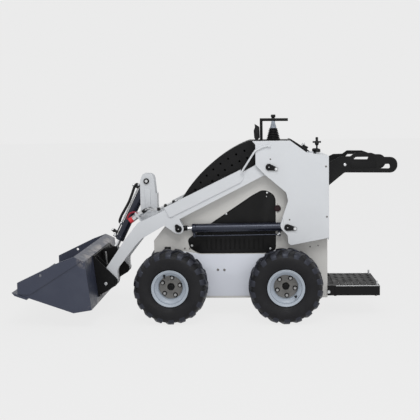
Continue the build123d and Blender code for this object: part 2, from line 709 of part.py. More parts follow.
parts["attach_plate"] = attach
# two latch levers that stand off the plate's rear face
lever_foot = along(*back, 150, attach_plate_thickness)
lever_knee = along(*back, 150, attach_plate_thickness + 38)
lever_top = along(*back, 250, attach_plate_thickness + 44)
levers = Part()
for y in (-135.0, 135.0):
    levers += tube_along([(x, y, z) for x, z in (lever_foot, lever_knee, lever_top)], 7.0)
parts["attach_levers"] = levers
pin_in = arm_inner - ear_gap - ear_thickness
both_sides("attach_pin", pin_across(attach_pin, pin_radius, pin_in, ear_outer + 6))

floor_end = along(heel, lip, hypot(lip[0] - heel[0], lip[1] - heel[1]) - 40)
shell = slab(outline([
    floor_end, heel, bucket_heel_rear, bucket_back_top, bucket_rim,
    (bucket_rim[0] + 2, bucket_rim[1] - bucket_wall),
    (bucket_back_top[0] + bucket_wall, bucket_back_top[1] - 3),
    (bucket_heel_rear[0] + bucket_wall, bucket_heel_rear[1] + bucket_wall),
    (heel[0] + 2, heel[1] + bucket_wall), (floor_end[0], floor_end[1] + bucket_wall),
]), -bucket_half, bucket_half)
# stiffener between the back and the folded rim
shell += slab(outline([
    along(bucket_back_top, bucket_heel_rear, 68, bucket_wall / 2),
    along(bucket_back_top, bucket_rim, 56, -bucket_wall / 2),
    along(bucket_back_top, bucket_rim, 48, -bucket_wall / 2),
    along(bucket_back_top, bucket_heel_rear, 60, bucket_wall / 2),
]), -bucket_half, bucket_half)
side_low, side_high = (1275.0, 287.0), (1017.0, 409.0)
side_face = outline([
    floor_end, side_low, side_high, bucket_rim, bucket_back_top, bucket_heel_rear, heel,
])
side = slab(side_face, bucket_half - side_wall, bucket_half)
hole_centre = (1133.0, 332.0)
hole_radius = 9.0
fold_rear, fold_front = (900.0, 402.0), (1200.0, 214.0)
strip = slab(outline([
    (floor_end[0], floor_end[1] + 2), side_low, side_high, (bucket_rim[0], bucket_rim[1], 20),
    (bucket_rim[0] - 45, bucket_rim[1] - 20), fold_rear, fold_front,
]), bucket_half, bucket_half + strip_step)
side = side + strip - pin_across(hole_centre, hole_radius, bucket_half - 2 * side_wall,
                                 bucket_half + 2 * strip_step)
shell += side + mirrored(side)
parts["bucket"] = shell
parts["cutting_edge"] = slab(outline([
    lip, along(lip, heel, edge_depth, 0), along(lip, heel, edge_depth, edge_thickness),
    along(lip, heel, 24, edge_thickness),
]), -bucket_half - strip_step, bucket_half + strip_step)


# ---------------------------------------------------------------- placing and export
frame_shift = -(lip[0] + guard_rear) / 2
os.makedirs("parts", exist_ok=True)
for name, piece in parts.items():
    export_step(Pos(frame_shift, 0, 0) * piece, f"parts/{name}.step")
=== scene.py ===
import json
import math

import bmesh
import bpy
from mathutils import Matrix, Vector

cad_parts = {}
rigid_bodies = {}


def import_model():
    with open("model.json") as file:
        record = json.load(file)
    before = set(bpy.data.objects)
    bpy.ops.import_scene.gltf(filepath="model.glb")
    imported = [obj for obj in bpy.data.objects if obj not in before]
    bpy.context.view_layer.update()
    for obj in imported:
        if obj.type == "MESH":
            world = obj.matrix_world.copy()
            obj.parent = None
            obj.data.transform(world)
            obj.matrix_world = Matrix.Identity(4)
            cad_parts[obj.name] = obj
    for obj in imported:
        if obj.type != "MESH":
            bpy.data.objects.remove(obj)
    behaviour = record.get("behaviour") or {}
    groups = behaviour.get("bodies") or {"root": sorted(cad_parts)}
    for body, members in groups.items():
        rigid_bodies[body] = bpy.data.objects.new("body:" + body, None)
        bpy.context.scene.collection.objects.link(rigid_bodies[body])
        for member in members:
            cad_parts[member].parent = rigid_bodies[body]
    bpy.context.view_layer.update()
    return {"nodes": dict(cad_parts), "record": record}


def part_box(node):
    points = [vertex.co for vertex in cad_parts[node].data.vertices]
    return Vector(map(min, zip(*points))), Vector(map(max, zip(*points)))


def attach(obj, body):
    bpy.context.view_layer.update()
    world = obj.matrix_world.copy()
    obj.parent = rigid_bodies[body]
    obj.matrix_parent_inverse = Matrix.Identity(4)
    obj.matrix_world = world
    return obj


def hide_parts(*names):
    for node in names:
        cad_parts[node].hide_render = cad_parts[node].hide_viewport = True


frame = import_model()
nodes = frame["nodes"]
record = frame["record"]
bodyOf = {node: body for body, members in record["behaviour"]["bodies"].items() for node in members}
slotOf = {part["node"]: part["material_slot"] for part in record["subparts"]}


# colours are given as on a paint card, 0-255, and turned into the renderer's linear values
def shade(red, green, blue):
    linear = []
    for value in (red, green, blue):
        part = value / 255
        linear.append(part / 12.92 if part <= 0.04045 else ((part + 0.055) / 1.055) ** 2.4)
    return (*linear, 1.0)


def linked(name, data):
    obj = bpy.data.objects.new(name, data)
    bpy.context.scene.collection.objects.link(obj)
    return obj


def meshOf(name, form):
    mesh = bpy.data.meshes.new(name)
    form.to_mesh(mesh)
    form.free()
    return mesh


# links an output to a socket, or sets the socket to a plain value
def feed(tree, socket, value):
    if isinstance(value, bpy.types.NodeSocket):
        tree.links.new(value, socket)
    else:
        socket.default_value = value


def newNode(tree, kind, inputs, **settings):
    node = tree.nodes.new(kind)
    for name, value in settings.items():
        setattr(node, name, value)
    for name, value in inputs.items():
        feed(tree, node.inputs[name], value)
    return node


def worked(tree, operation, first, second):
    return newNode(tree, "ShaderNodeMath", {0: first, 1: second}, operation=operation).outputs[0]


# camera: place in metres, turns in radians, sensor and lens in millimetres
camera = {"spot": (-0.3207, 5.488, 1.2187), "yaw": -0.05773677, "pitch": 0.100539, "roll": -0.01641948,
          "sensor": 36.0, "lens": 71.894, "clipEnd": 200}


def placeCamera(look):
    yaw, pitch, roll = look["yaw"], look["pitch"], look["roll"]
    forward = Vector((-math.sin(yaw) * math.cos(pitch), -math.cos(yaw) * math.cos(pitch), -math.sin(pitch)))
    level = Vector((-math.cos(yaw), math.sin(yaw), 0))
    upright = level.cross(forward)
    right = level * math.cos(roll) + upright * math.sin(roll)
    up = upright * math.cos(roll) - level * math.sin(roll)
    data = bpy.data.cameras.new("studioCamera")
    data.sensor_width = look["sensor"]
    data.lens = look["lens"]
    data.clip_end = look["clipEnd"]
    obj = linked("studioCamera", data)
    rotation = Matrix((right, up, -forward)).transposed().to_4x4()
    obj.matrix_world = Matrix.Translation(look["spot"]) @ rotation
    bpy.context.scene.camera = obj


# floorGlow is the strength of the floor's own light, and floorEmission the share of it that is seen
studio = {
    "background": shade(235, 235, 235), "white": (1, 1, 1, 1), "domeStrength": 0.54,
    "floorSize": 60.0, "floorEmission": 0.92, "floorGlow": 0.849,
    "lamps": [
        {"name": "overheadLamp", "spot": (-0.4, 3.6, 4.5), "aim": (0, 0, 0.5), "size": 2.8, "power": 104},
        {"name": "sideLamp", "spot": (-1.0, 4.8, 0.9), "aim": (0, 0, 0.5), "size": 2.4, "power": 16},
    ],
}


# 1 for rays that show the background: straight from the camera, reflected, or through glass
def shownRays(tree):
    rays = tree.nodes.new("ShaderNodeLightPath")
    total = rays.outputs["Is Camera Ray"]
    for kind in ("Is Glossy Ray", "Is Transmission Ray"):
        total = worked(tree, "MAXIMUM", total, rays.outputs[kind])
    return total


# the second shader takes the first one's place by a share
def mixShaders(tree, share, first, second, outKind):
    mix = newNode(tree, "ShaderNodeMixShader", {"Fac": share, 1: first.outputs[0], 2: second.outputs[0]})
    newNode(tree, outKind, {"Surface": mix.outputs[0]})


def makeWorld(look):
    world = bpy.data.worlds.new("studioWorld")
    bpy.context.scene.world = world
    world.use_nodes = True
    tree = world.node_tree
    tree.nodes.clear()
    dome = newNode(tree, "ShaderNodeBackground", {"Color": look["white"], "Strength": look["domeStrength"]})
    seen = newNode(tree, "ShaderNodeBackground", {"Color": look["background"]})
    mixShaders(tree, shownRays(tree), dome, seen, "ShaderNodeOutputWorld")


def makeFloor(look):
    form = bmesh.new()
    bmesh.ops.create_grid(form, x_segments=1, y_segments=1, size=look["floorSize"])
    floor = linked("studioFloor", meshOf("studioFloor", form))
    material = bpy.data.materials.new("studioFloor")
    material.use_nodes = True
    tree = material.node_tree
    tree.nodes.clear()
    plain = newNode(tree, "ShaderNodeBsdfDiffuse", {"Color": look["background"]})
    glow = newNode(tree, "ShaderNodeEmission", {"Color": look["white"], "Strength": look["floorGlow"]})
    share = worked(tree, "MULTIPLY", shownRays(tree), look["floorEmission"])
    mixShaders(tree, share, plain, glow, "ShaderNodeOutputMaterial")
    floor.data.materials.append(material)


def makeLamps(look):
    for lamp in look["lamps"]:
        data = bpy.data.lights.new(lamp["name"], "AREA")
        data.shape = "DISK"
        data.size = lamp["size"]
        data.energy = lamp["power"]
        aim = Vector(lamp["aim"]) - Vector(lamp["spot"])
        rotation = aim.to_track_quat("-Z", "Y").to_matrix().to_4x4()
        linked(lamp["name"], data).matrix_world = Matrix.Translation(lamp["spot"]) @ rotation


placeCamera(camera)
makeWorld(studio)
makeFloor(studio)
makeLamps(studio)
bpy.context.scene.view_settings.view_transform = "Standard"
print("camera, floor and lamps are set")


# finishes, each with its own Bevel node, which softens the light along sharp edges
def newFinish(name, radius, samples=4):
    material = bpy.data.materials.new(name)
    material.use_nodes = True
    tree = material.node_tree
    spots = tree.nodes.new("ShaderNodeTexCoord").outputs["Object"]
    rounding = newNode(tree, "ShaderNodeBevel", {"Radius": radius}, samples=samples).outputs["Normal"]
    return material, tree, tree.nodes["Principled BSDF"], spots, rounding


def noise(tree, spots, scale, detail=3.0, rough=0.55):
    inputs = {"Vector": spots, "Scale": scale, "Detail": detail, "Roughness": rough}
    return newNode(tree, "ShaderNodeTexNoise", inputs).outputs["Fac"]


# turns the part of a value between two limits into the range between two others
def span(tree, value, source, result):
    inputs = {"Value": value, "From Min": source[0], "From Max": source[1], "To Min": result[0],
              "To Max": result[1]}
    return newNode(tree, "ShaderNodeMapRange", inputs).outputs["Result"]


def blendColour(tree, share, first, second):
    inputs = {"Factor": share, "A": first, "B": second}
    return newNode(tree, "ShaderNodeMix", inputs, data_type="RGBA").outputs["Result"]


# uneven roughness and a fine grain, from a finish's own look and what its kind shares
def texture(tree, surface, spots, rounding, look, shared):
    less, more = shared["roughChange"]
    cloud = noise(tree, spots, shared["uneven"])
    rough = span(tree, cloud, shared["unevenFrom"], (look["rough"] + less, look["rough"] + more))
    feed(tree, surface.inputs["Roughness"], rough)
    grain = noise(tree, spots, look["grain"], shared["grainDetail"])
    inputs = {"Height": grain, "Strength": shared["grainStrength"], "Distance": look["depth"],
              "Normal": rounding}
    feed(tree, surface.inputs["Normal"], newNode(tree, "ShaderNodeBump", inputs).outputs["Normal"])


def polish(surface, look):
    surface.inputs["Specular IOR Level"].default_value = look["shine"]
    surface.inputs["Specular Tint"].default_value = look.get("tint", (1, 1, 1, 1))


paints = {
    "white_paint": {"colour": shade(213, 216, 220), "worn": shade(198, 200, 203), "rough": 0.42, "coat": 0.2,
                    "shine": 0.5, "grain": 420, "depth": 0.00012, "grime": 0.2, "bevel": 0.0012},
    # a darker, beiger copy of the white paint for the main frame: painted shade where the arms and tower
    # shade its side plates
    "shaded_frame_paint": {"colour": shade(208, 207, 204), "worn": shade(194, 193, 190), "rough": 0.45,
                    "coat": 0.15, "shine": 0.45, "grain": 420, "depth": 0.00012, "grime": 0.3,
                    "bevel": 0.0012},
    # a lighter, bluer copy of the white paint for the lower side plates: painted light on the lower body,
    # out of the arms' shade
    "lit_side_paint": {"colour": shade(222, 226, 236), "worn": shade(210, 213, 222), "rough": 0.42, "coat": 0.2,
                   "shine": 0.5, "grain": 420, "depth": 0.00012, "grime": 0.2, "bevel": 0.0008},
    "black_paint": {"colour": shade(14, 14, 15), "worn": shade(23, 23, 24), "rough": 0.46, "coat": 0.0,
                    "shine": 0.18, "grain": 520, "depth": 0.00015, "grime": 0.5, "bevel": 0.001},
    "bucket_paint": {"colour": shade(55, 60, 77), "worn": shade(68, 73, 88), "rough": 0.38, "coat": 0.1,
                     "shine": 0.4, "grain": 380, "depth": 0.00014, "grime": 0.6, "bevel": 0.0015,
                     "bareDark": shade(108, 96, 88), "bareLight": shade(178, 178, 182),
                     # (x, z, reach) of the folded rim's back edge and of the heel
                     "wearLines": [(0.735, 0.414, 0.048), (0.694, 0.115, 0.034)]},
    "wheel_paint": {"colour": shade(170, 179, 190), "worn": shade(150, 156, 164), "rough": 0.36, "coat": 0.2,
                    "shine": 0.5, "grain": 480, "depth": 0.0001, "grime": 0.3, "bevel": 0.0008},
    "dark_paint": {"colour": shade(128, 126, 123), "worn": shade(104, 102, 100), "rough": 0.46, "coat": 0.0,
                   "shine": 0.4, "grain": 420, "depth": 0.00015, "grime": 0.7, "bevel": 0.001},
    "cylinder_paint": {"colour": shade(20, 22, 34), "worn": shade(26, 29, 42), "rough": 0.25, "coat": 0.0,
                       "shine": 0.58, "tint": (0.78, 0.84, 1, 1), "grain": 520, "depth": 0.00002,
                       "grime": 0.4, "bevel": 0.0006},
}


# what the paints share: a noise's scale, detail and roughness, and the part of it that shows
paintWork = {
    "uneven": 14.0, "unevenFrom": (0.3, 0.7), "roughChange": (-0.05, 0.1),
    "grainDetail": 1.0, "grainStrength": 0.35, "coatRough": 0.25,
    "patches": (5.0, 5.0), "patchesFrom": (0.45, 0.72),
    "scuffs": (13.0, 6.0, 0.7), "scuffsFrom": (0.44, 0.58),
    "bare": (24.0, 4.0), "bareMetallic": 0.55, "bareCore": 0.35,  # share of a wear line that is all bare
}


# share of bare metal near lines that run across the machine, broken up by noise
def wearShare(tree, spots, lines, shared):
    flat = newNode(tree, "ShaderNodeVectorMath", {0: spots, 1: (1, 0, 1)}, operation="MULTIPLY")
    total = 0.0
    for x, z, reach in lines:
        inputs = {0: flat.outputs["Vector"], 1: (x, 0, z)}
        away = newNode(tree, "ShaderNodeVectorMath", inputs, operation="DISTANCE").outputs["Value"]
        near = span(tree, away, (reach * shared["bareCore"], reach), (1.0, 0.0))
        total = worked(tree, "MAXIMUM", total, near)
    scuffs = span(tree, noise(tree, spots, *shared["scuffs"]), shared["scuffsFrom"], (0.0, 1.0))
    return worked(tree, "MULTIPLY", total, scuffs)


def paintFinish(name, look, shared):
    material, tree, surface, spots, rounding = newFinish(name, look["bevel"])
    cloud = noise(tree, spots, *shared["patches"])
    patches = span(tree, cloud, shared["patchesFrom"], (0.0, look["grime"]))
    colour = blendColour(tree, patches, look["colour"], look["worn"])
    if "wearLines" in look:
        bare = wearShare(tree, spots, look["wearLines"], shared)
        metal = blendColour(tree, noise(tree, spots, *shared["bare"]), look["bareDark"], look["bareLight"])
        colour = blendColour(tree, bare, colour, metal)
        metallic = span(tree, bare, (0.0, 1.0), (0.0, shared["bareMetallic"]))
        feed(tree, surface.inputs["Metallic"], metallic)
    feed(tree, surface.inputs["Base Color"], colour)
    texture(tree, surface, spots, rounding, look, shared)
    polish(surface, look)
    surface.inputs["Coat Weight"].default_value = look["coat"]
    surface.inputs["Coat Roughness"].default_value = shared["coatRough"]
    return material


metals = {
    "chrome_rod": {"colour": (0.78, 0.79, 0.81, 1), "rough": 0.16, "grain": 900, "depth": 0.00001},
    "nut_steel": {"colour": (0.4, 0.4, 0.4, 1), "rough": 0.34, "grain": 700, "depth": 0.00004},
    "zinc_steel": {"colour": (0.6, 0.61, 0.62, 1), "rough": 0.32, "grain": 700, "depth": 0.00004},
}
metalWork = {"bevel": 0.0006, "uneven": 30.0, "unevenFrom": (0.35, 0.7),
             "roughChange": (-0.03, 0.12), "grainDetail": 2.0, "grainStrength": 0.3}


def metalFinish(name, look, shared):
    material, tree, surface, spots, rounding = newFinish(name, shared["bevel"])
    surface.inputs["Base Color"].default_value = look["colour"]
    surface.inputs["Metallic"].default_value = 1
    texture(tree, surface, spots, rounding, look, shared)
    return material


mouldings = {
    "cap_red": {"colour": shade(214, 52, 60), "rough": 0.36, "shine": 0.4, "grain": 900, "depth": 0.0001},
    "strap_red": {"colour": shade(146, 32, 48), "rough": 0.42, "shine": 0.3, "grain": 900, "depth": 0.0001},
    "cap_maroon": {"colour": shade(34, 9, 16), "rough": 0.42, "shine": 0.25, "grain": 900, "depth": 0.0001},
    "black_plastic": {"colour": shade(17, 17, 19), "rough": 0.42, "shine": 0.25, "grain": 900,
                      "depth": 0.0002},
    "hose_rubber": {"colour": shade(16, 16, 18), "rough": 0.46, "shine": 0.28, "grain": 1100,
                    "depth": 0.0001},
    "tyre": {"colour": shade(21, 21, 24), "rough": 0.54, "shine": 0.24, "grain": 260, "depth": 0.0004},
    # the lugs are the tyre's own rubber, made bluer and shinier, with a bluish tint on their reflections: a
    # painted bluish sheen on the tread
    "sheened_tyre_lug": {"colour": shade(24, 24, 31), "rough": 0.42, "shine": 0.54, "tint": (0.78, 0.84, 1, 1),
                 "grain": 260, "depth": 0.0004},
}
# dust lies on the mouldings in patches, paler than their own colour
mouldWork = {"bevel": 0.001, "dust": (9.0, 6.0, 0.65), "dustFrom": (0.42, 0.75), "dustMost": 0.55,
             "dustGain": 1.7, "dustLift": 0.004, "uneven": 22.0, "unevenFrom": (0.3, 0.7),
             "roughChange": (-0.06, 0.1), "grainDetail": 3.0, "grainStrength": 0.4}


def mouldedFinish(name, look, shared):
    material, tree, surface, spots, rounding = newFinish(name, shared["bevel"])
    paler = [min(1.0, value * shared["dustGain"] + shared["dustLift"]) for value in look["colour"][:3]]
    cloud = noise(tree, spots, *shared["dust"])
    share = span(tree, cloud, shared["dustFrom"], (0.0, shared["dustMost"]))
    feed(tree, surface.inputs["Base Color"], blendColour(tree, share, look["colour"], (*paler, 1.0)))
    texture(tree, surface, spots, rounding, look, shared)
    polish(surface, look)
    return material


materials = {name: paintFinish(name, look, paintWork) for name, look in paints.items()}
materials.update({name: metalFinish(name, look, metalWork) for name, look in metals.items()})
materials.update({name: mouldedFinish(name, look, mouldWork) for name, look in mouldings.items()})


# a finish other than the slot's own is named last
def dress(obj, slotName, body=None, finish=None):
    obj.data.materials.clear()
    obj.data.materials.append(materials[finish or slotName])
    if body:
        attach(obj, body)
    return obj


for node, obj in nodes.items():
    dress(obj, slotOf[node])
print("finishes are made for", len(nodes), "nodes")


tyreBoxes = {node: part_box(node) for node in nodes if node.startswith("tyre_")}
middleX = sum(low.x + high.x for low, high in tyreBoxes.values()) / (2 * len(tyreBoxes))


# from here on sizes are in millimetres; a spot's run forward of the wheelbase's middle, left and up
def spot(x, y, z):
    return Vector((middleX + x / 1000, y / 1000, z / 1000))


def offset(x, y, z):
    return Vector((x, y, z)) / 1000


def up(height):
    return Matrix.Translation(offset(0, 0, height))


def middleOf(node):
    low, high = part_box(node)
    return (low + high) / 2


# the object of a bmesh, smooth but for the edges that turn by more than an angle in degrees
def smoothed(name, form, sharp):
    mesh = meshOf(name, form)
    for face in mesh.polygons:
        face.use_smooth = True
    mesh.set_sharp_from_angle(angle=math.radians(sharp))
    return linked(name, mesh)


def cut(form, place, direction, clear=False, reach=0.001):
    bmesh.ops.bisect_plane(form, geom=form.verts[:] + form.edges[:] + form.faces[:], dist=reach / 1000,
                           plane_co=place, plane_no=direction, clear_outer=clear)


# second slot in the far guard plate, below and behind its grip slot: low and high (x, z)
guardWindow = {"low": (-938, 974), "high": (-834, 990)}


def cutWindow(form, look):
    low, high = (spot(x, 0, z) for x, z in (look["low"], look["high"]))
    for corner in (low, high):
        for direction in ((1, 0, 0), (0, 0, 1)):
            cut(form, corner, direction)
    inside = []
    for face in form.faces:
        middle = face.calc_center_median()
        if low.x < middle.x < high.x and low.z < middle.z < high.z:
            inside.append(face)
    bmesh.ops.delete(form, geom=inside, context="FACES")
    bmesh.ops.bridge_loops(form, edges=[edge for edge in form.edges if edge.is_boundary])
    bmesh.ops.recalc_face_normals(form, faces=form.faces)


bracketTop = {"height": 199}


# takes off all that stands above a height, and closes the cut
def trimAbove(form, look):
    cut(form, spot(0, 0, look["height"]), (0, 0, 1), True)
    bmesh.ops.holes_fill(form, edges=[edge for edge in form.edges if edge.is_boundary])
    bmesh.ops.recalc_face_normals(form, faces=form.faces)


# the guard's dome is a little flatter half way down; angles are in degrees round its centre
domeLook = {"centre": (-334, 436), "inside": 702, "depth": 15, "first": 18, "last": 73}


def flattenDome(form, look):
    x, z = look["centre"]
    centre = spot(x, 0, z)
    for vert in form.verts:
        away = Vector((vert.co.x - centre.x, 0, vert.co.z - centre.z))
        share = (math.degrees(math.atan2(away.z, away.x)) - look["first"]) / (look["last"] - look["first"])
        if away.length > look["inside"] / 1000 and 0 < share < 1:
            vert.co -= away.normalized() * (look["depth"] / 1000 * math.sin(math.pi * share))


# sheet metal and castings with rounded edges, copied from the frame's own solids: each one's rounding
rounded = {
    "bucket": 2, "cutting_edge": 2.5, "attach_plate": 2, "arm_left": 3, "arm_right": 3, "arm_cross": 2.5,
    "main_frame": 2, "tower_plate_left": 2, "tower_plate_right": 2, "guard_plate_left": 2,
    "guard_plate_right": 2, "hood_guard": 1, "console_panel": 1, "step": 1, "step_bracket": 2,
    "rear_panel": 1, "tank_shelf": 1, "bump_stops": 3, "vent_panel_left": 0.8, "vent_panel_right": 0.8,
    "aux_couplers": 0.8, "coupler_caps": 2, "control_bracket": 1.5, "guard_tube": 1, "grab_bar": 1,
    "lock_bar": 0.8, "attach_levers": 1,
}


# some nodes are reshaped, and some have a finish of their own
roundLook = {
    "merged": 0.02, "flat": 1.0, "segments": 2, "bevelFrom": 35, "sharpFrom": 30,
    "shaping": {"guard_plate_right": (cutWindow, guardWindow), "step_bracket": (trimAbove, bracketTop),
                "hood_guard": (flattenDome, domeLook)},
    # the main frame takes the darker copy of the white paint, as painted shade
    "finish": {"main_frame": "shaded_frame_paint", "attach_levers": "nut_steel"},
}


def softenEdges(node, width, look):
    form = bmesh.new()
    form.from_mesh(nodes[node].data)
    bmesh.ops.remove_doubles(form, verts=form.verts, dist=look["merged"] / 1000)
    bmesh.ops.dissolve_limit(form, angle_limit=math.radians(look["flat"]), verts=form.verts,
                             edges=form.edges)
    if node in look["shaping"]:
        reshape, sizes = look["shaping"][node]
        reshape(form, sizes)
    obj = smoothed(node + "Soft", form, look["sharpFrom"])
    edge = obj.modifiers.new("roundedEdges", "BEVEL")
    edge.width = width / 1000
    edge.segments = look["segments"]
    edge.limit_method = "ANGLE"
    edge.angle_limit = math.radians(look["bevelFrom"])
    edge.harden_normals = True
    dress(obj, slotOf[node], bodyOf[node], look["finish"].get(node))
    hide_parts(node)


for node, width in rounded.items():
    if node in nodes:
        softenEdges(node, width, roundLook)
print("edges are rounded on", len(rounded), "pieces")


# a new piece that rides on a body, and may stand in for a node; sharp is an angle in degrees
def piece(name, form, slotName, body, sharp=35, finish=None, insteadOf=None):
    bmesh.ops.recalc_face_normals(form, faces=form.faces)
    obj = dress(smoothed(name, form, sharp), slotName, body, finish)
    if insteadOf:
        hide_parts(insteadOf)


def join(form, part, place=Matrix.Identity(4)):
    part.transform(place)
    mesh = meshOf("joined", part)
    form.from_mesh(mesh)
    bpy.data.meshes.remove(mesh)


def bevel(form, edges, width, segments):
    bmesh.ops.bevel(form, geom=edges, offset=width / 1000, segments=segments, profile=0.5, affect="EDGES",
                    material=-1)


# a shape, which is its steps and its (radius, height) points, turned round the Z axis of a placing matrix
def lathe(form, shape, place, merged=0.002):
    steps, profile = shape
    part = bmesh.new()
    points = [part.verts.new(offset(radius, 0, height)) for radius, height in profile]
    edges = [part.edges.new(pair) for pair in zip(points, points[1:])]
    bmesh.ops.spin(part, geom=points + edges, cent=(0, 0, 0), axis=(0, 0, 1), angle=math.tau,
                   steps=steps, use_merge=True)
    bmesh.ops.remove_doubles(part, verts=part.verts, dist=merged / 1000)
    bmesh.ops.recalc_face_normals(part, faces=part.faces)
    join(form, part, place)


# the bmesh of one turned shape
def turned(shape, place):
    form = bmesh.new()
    lathe(form, shape, place)
    return form


# the matrix that stands local Z along a direction at a place
def standing(place, direction):
    return Matrix.Translation(place) @ Vector(direction).to_track_quat("Z", "Y").to_matrix().to_4x4()


# the matrix on one side of the machine that points outwards from a face; side is 1 left, -1 right
def facing(x, z, face, side):
    return standing(spot(x, face * side, z), (0, side, 0))


# nuts, washers and studs on one axis: (sides, radius, height, edge, height of the foot)
def stack(form, parts, place):
    for sides, radius, height, edge, foot in parts:
        part = bmesh.new()
        bmesh.ops.create_cone(part, cap_ends=True, segments=sides, radius1=radius / 1000,
                              radius2=radius / 1000, depth=height / 1000, matrix=up(foot + height / 2))
        bevel(part, part.edges[:], edge, 1)
        join(form, part, place)


def block(form, low, high, edge, segments=2):
    part = bmesh.new()
    bmesh.ops.create_cube(part, size=1)
    bmesh.ops.scale(part, vec=high - low, verts=part.verts)
    bevel(part, part.edges[:], edge, segments)
    join(form, part, Matrix.Translation((low + high) / 2))


# a raised panel between two (x, z) corners, sunk a little into the face that it stands on
def panel(form, low, high, face, rise, side, edge, sunk=1, segments=3):
    near, far = sorted(((face - sunk) * side, (face + rise) * side))
    block(form, spot(low[0], near, low[1]), spot(high[0], far, high[1]), edge, segments)


# a flat outline of (x, z) corners, extruded across the machine, with its outer edges rounded
def extruded(form, corners, inner, outer, edge):
    part = bmesh.new()
    face = part.faces.new([part.verts.new(spot(x, inner, z)) for x, z in corners])
    raised = bmesh.ops.extrude_face_region(part, geom=[face])
    tops = [item for item in raised["geom"] if isinstance(item, bmesh.types.BMVert)]
    bmesh.ops.translate(part, vec=(0, (outer - inner) / 1000, 0), verts=tops)
    bmesh.ops.recalc_face_normals(part, faces=part.faces)
    bevel(part, [item for item in part.edges if item.verts[0] in tops and item.verts[1] in tops], edge, 2)
    join(form, part)


# points along a smooth curve through the given ones
def curved(points, steps=6):
    given = [Vector(point) for point in points]
    ends = [2 * given[0] - given[1]] + given + [2 * given[-1] - given[-2]]
    path = []
    for a, b, c, d in zip(ends, ends[1:], ends[2:], ends[3:]):
        for k in range(steps):
            t = k / steps
            path.append(0.5 * (2 * b + (c - a) * t + (2 * a - 5 * b + 4 * c - d) * t * t
                               + (3 * b - a - 3 * c + d) * t * t * t))
    return path + [given[-1]]


def tube(form, path, radius, sides=14):
    part = bmesh.new()
    rings = []
    upright = Vector((0.13, 0.94, 0.31))  # a direction that no path follows
    for k, point in enumerate(path):
        ahead = (path[min(k + 1, len(path) - 1)] - path[max(k - 1, 0)]).normalized()
        side = ahead.cross(upright).normalized()
        upright = side.cross(ahead).normalized()
        place = Matrix.Translation(point) @ Matrix((side, upright, ahead)).transposed().to_4x4()
        made = bmesh.ops.create_circle(part, cap_ends=k in (0, len(path) - 1), segments=sides,
                                       radius=radius / 1000, matrix=place)
        rings.append(made["verts"])
    for first, second in zip(rings, rings[1:]):
        edges = {edge for ring in (first, second) for vert in ring for edge in vert.link_edges
                 if edge.other_vert(vert) in ring}
        bmesh.ops.bridge_loops(part, edges=list(edges))
    join(form, part)


# a half profile and its mirror image, which share a point on the middle
def bothHalves(half):
    return half + [(radius, -lateral) for radius, lateral in reversed(half) if lateral]


# tyres: a smooth carcass with two staggered rows of moulded lugs, the lugs in a bluer, shinier copy of the
# rubber as a painted sheen
tyreLook = {
    "steps": 112, "lugs": 18, "lugBevel": 2.4, "draft": 0.86, "crispFrom": 40,
    # (radius, lateral) from the bead over the sidewall to the crown
    "carcass": [(104.2, 83), (115.2, 84.2), (117.8, 86.8), (121, 91.5), (125.2, 95), (128.8, 96.2),
                (130, 97.6), (132.5, 99), (135.2, 99.2), (137, 100.4), (150, 104.4), (166, 106.4),
                (180, 106), (193, 102), (204, 93.5), (213.2, 79), (218.4, 56), (220.2, 28), (220.6, 0)],
    # (lateral, tip radius, foot radius, turn in degrees, half width) from the middle to the shoulder
    "lug": [(3, 228.4, 210, -8.2, 16.8), (20, 228.6, 210, -6.2, 17.4), (42, 228.5, 209, -3.4, 18.4),
            (62, 227.6, 207, -0.9, 19.8), (79, 224.2, 201, 0.6, 20.8), (90.5, 217.2, 194, 1.3, 21),
            (98.5, 208.5, 188, 1.6, 20), (103, 199, 183, 1.7, 17)],
}


def makeLugRow(look):
    row = bmesh.new()
    stations = look["lug"]
    bmesh.ops.create_cube(row, size=1)
    along = [edge for edge in row.edges if abs(edge.verts[0].co.y - edge.verts[1].co.y) > 0.5]
    bmesh.ops.subdivide_edges(row, edges=along, cuts=len(stations) - 2, use_grid_fill=True)
    tips = set()
    for vert in row.verts:
        lateral, tip, foot, turn, half = stations[round((vert.co.y + 0.5) * (len(stations) - 1))]
        outer = vert.co.z > 0
        radius = tip if outer else foot
        wide = half * (look["draft"] if outer else 1.0)
        angle = math.radians(turn) + math.copysign(wide / radius, vert.co.x)
        if outer:
            tips.add(vert)
        vert.co = offset(radius * math.sin(angle), lateral, radius * math.cos(angle))
    bmesh.ops.recalc_face_normals(row, faces=row.faces)
    crisp = [edge for edge in row.edges if edge.calc_face_angle(0) > math.radians(look["crispFrom"])
             and (edge.verts[0] in tips or edge.verts[1] in tips)]
    bevel(row, crisp, look["lugBevel"], 2)
    count = look["lugs"]
    bmesh.ops.spin(row, geom=row.verts[:] + row.edges[:] + row.faces[:], cent=(0, 0, 0), axis=(0, 1, 0),
                   angle=math.tau * (count - 1) / count, steps=count - 1, use_merge=False,
                   use_duplicate=True)
    return row


def makeTyre(node, look):
    middle = middleOf(node)
    side = math.copysign(1, middle.y)
    place = Matrix.Translation(middle) @ Matrix.Diagonal((1, side, 1, 1))
    axle = place @ Matrix.Rotation(-math.pi / 2, 4, "X")
    form = turned((look["steps"], bothHalves(look["carcass"])), axle)
    piece(node + "Carcass", form, "tyre", bodyOf[node], 40, insteadOf=node)
    form = bmesh.new()
    for turn, across in ((0.0, 1), (math.tau / look["lugs"] / 2, -1)):
        row = makeLugRow(look)
        join(form, row, place @ Matrix.Rotation(turn, 4, "Y") @ Matrix.Diagonal((1, across, 1, 1)))
    piece(node + "Tread", form, "tyre", bodyOf[node], 40, "sheened_tyre_lug")


for node in tyreBoxes:
    makeTyre(node, tyreLook)
print("tyres are made")


